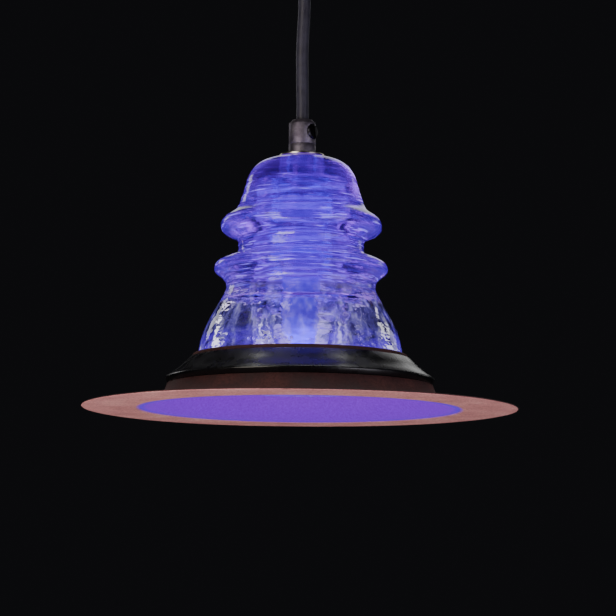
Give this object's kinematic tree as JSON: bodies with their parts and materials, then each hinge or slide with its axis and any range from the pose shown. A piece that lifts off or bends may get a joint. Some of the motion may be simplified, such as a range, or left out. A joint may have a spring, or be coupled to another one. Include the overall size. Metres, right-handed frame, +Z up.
{
  "type": "glass insulator pendant lamp",
  "caption": "Pendant lamp: clear ridged glass pin insulator on a cord, lit from inside, in a spun hood with a wide flat brim, under a round ceiling canopy.",
  "frame": {"origin": "the ceiling, at the middle of the canopy, on the lamp's axis", "axes": "+Z up into the ceiling; the mounting bracket runs along X; -Y is the side with the lamp's set screw"},
  "size_m": [0.178, 0.178, 0.2253],
  "materials": {
    "zinc_steel": "zinc-plated stamped steel",
    "green_screw": "green-plated ground screw",
    "black_paint": "satin black paint on spun steel",
    "black_hardware": "blackened steel screws",
    "grip_steel": "turned steel, aged to dull grey",
    "cord_jacket": "dark grey rubber jacket",
    "lead_insulation": "insulated conductors, one white and one black",
    "connector_plastic": "orange twist-on connectors",
    "pale_washer": "pale plain washer",
    "pale_gasket": "thin pale sealing gasket",
    "clear_glass": "clear pressed glass, a little wavy",
    "dark_gasket": "black rubber gasket",
    "brass_screw": "brass machine screws",
    "porcelain": "off-white steatite lampholder body",
    "brass_contact": "spring brass contacts",
    "bulb_plastic": "white moulded bulb base",
    "tinned_pins": "tinned wire pin loops",
    "frosted_envelope": "frosted envelope that glows blue-violet",
    "led_board_white": "white board with light-emitting chips",
    "rusted_steel": "rust-brown patinated spun steel, dusty pink below",
    "black_collar": "satin black collar"
  },
  "bodies": {
    "ceiling": {"mounting_bracket": "zinc_steel", "ground_screw": "green_screw", "canopy": "black_paint", "canopy_cord_grip": "grip_steel", "canopy_star_washer": "zinc_steel", "canopy_lock_nut": "zinc_steel", "canopy_jacket_end": "cord_jacket", "canopy_leads": "lead_insulation", "wire_connectors": "connector_plastic"},
    "left_thumb_screw": {"thumb_screw_left": "black_hardware"},
    "right_thumb_screw": {"thumb_screw_right": "black_hardware"},
    "canopy_set_screw": {"canopy_grip_screw": "black_hardware"},
    "cord": {"cord": "cord_jacket"},
    "lamp": {"cord_grip": "grip_steel", "crown_washer": "pale_washer", "crown_gasket": "pale_gasket", "glass_insulator": "clear_glass", "inner_gasket": "dark_gasket", "inner_washer": "zinc_steel", "lock_nut": "zinc_steel", "lamp_jacket_end": "cord_jacket", "lamp_leads": "lead_insulation", "holder_bracket": "zinc_steel", "bracket_screws": "brass_screw", "lampholder": "porcelain", "holder_contacts": "brass_contact"},
    "lamp_set_screw": {"grip_screw": "black_hardware"},
    "bulb": {"bulb_base": "bulb_plastic", "bulb_pins": "tinned_pins", "bulb_envelope": "frosted_envelope", "led_board": "led_board_white"},
    "hood": {"hood": "rusted_steel", "hood_collar": "black_collar", "neck_gasket": "dark_gasket"}
  },
  "joints": [
    {"name": "cord_swing", "type": "hinge", "parent": "ceiling", "child": "cord", "pos_m": [0, 0, -0.041], "axis": [0, 1, 0], "range_deg": [-25, 25], "deforming": ["cord"]},
    {"name": "lamp_rock", "type": "hinge", "parent": "cord", "child": "lamp", "pos_m": [0, 0, -0.105], "axis": [1, 0, 0], "range_deg": [-15, 15], "deforming": ["cord"]},
    {"name": "hood_lift", "type": "slide", "parent": "lamp", "child": "hood", "axis": [0, 0, 1], "range_m": [0, 0.06]},
    {"name": "bulb_pull", "type": "slide", "parent": "lamp", "child": "bulb", "axis": [0, 0, -1], "range_m": [0, 0.03]},
    {"name": "grip_screw_turn", "type": "hinge", "parent": "lamp", "child": "lamp_set_screw", "pos_m": [0, 0, -0.1102], "axis": [0.829, -0.5592, 0], "range_deg": [0, 720]},
    {"name": "canopy_grip_screw_turn", "type": "hinge", "parent": "ceiling", "child": "canopy_set_screw", "pos_m": [0, 0, -0.0354], "axis": [0.766, -0.6428, 0], "range_deg": [0, 720]},
    {"name": "left_thumb_screw_out", "type": "slide", "parent": "ceiling", "child": "left_thumb_screw", "axis": [-1, 0, 0], "range_m": [0, 0.008]},
    {"name": "right_thumb_screw_out", "type": "slide", "parent": "ceiling", "child": "right_thumb_screw", "axis": [1, 0, 0], "range_m": [0, 0.008]}
  ]
}
